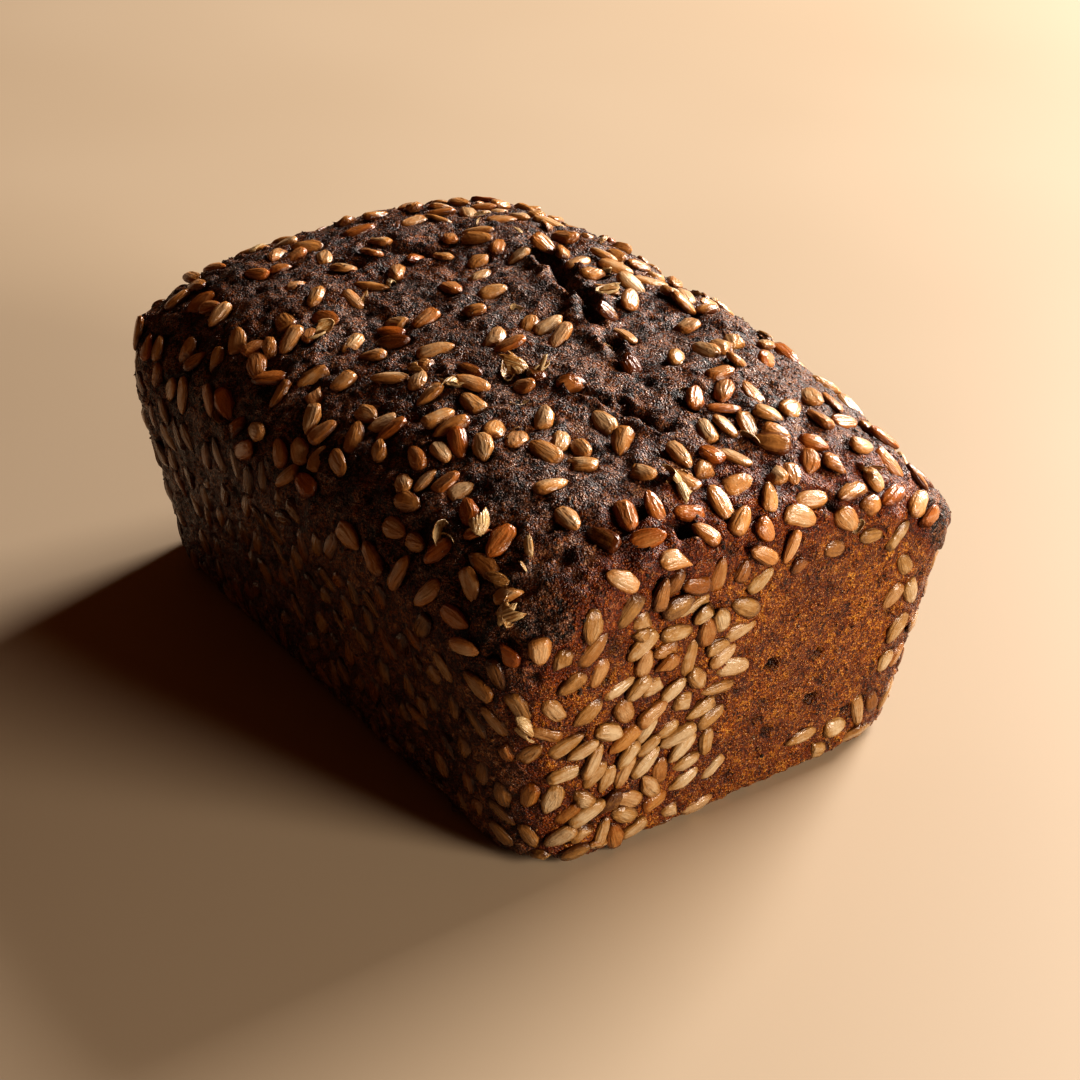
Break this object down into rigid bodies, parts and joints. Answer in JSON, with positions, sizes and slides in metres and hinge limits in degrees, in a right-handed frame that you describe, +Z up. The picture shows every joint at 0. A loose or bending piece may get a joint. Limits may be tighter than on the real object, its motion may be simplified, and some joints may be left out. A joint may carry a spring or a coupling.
{
  "type": "seeded rye bread loaf",
  "caption": "Whole tin-baked rye loaf with leaning straight walls, a low domed dark crust and a coat of sunflower kernels.",
  "frame": {"origin": "middle of the flat underside, which rests on the table", "axes": "+X along the loaf, +Y across it, +Z up"},
  "size_m": [0.1896, 0.1374, 0.0942],
  "materials": {
    "crust": "dark baked crust, slightly glossy"
  },
  "bodies": {
    "root": {"loaf": "crust"}
  },
  "joints": []
}
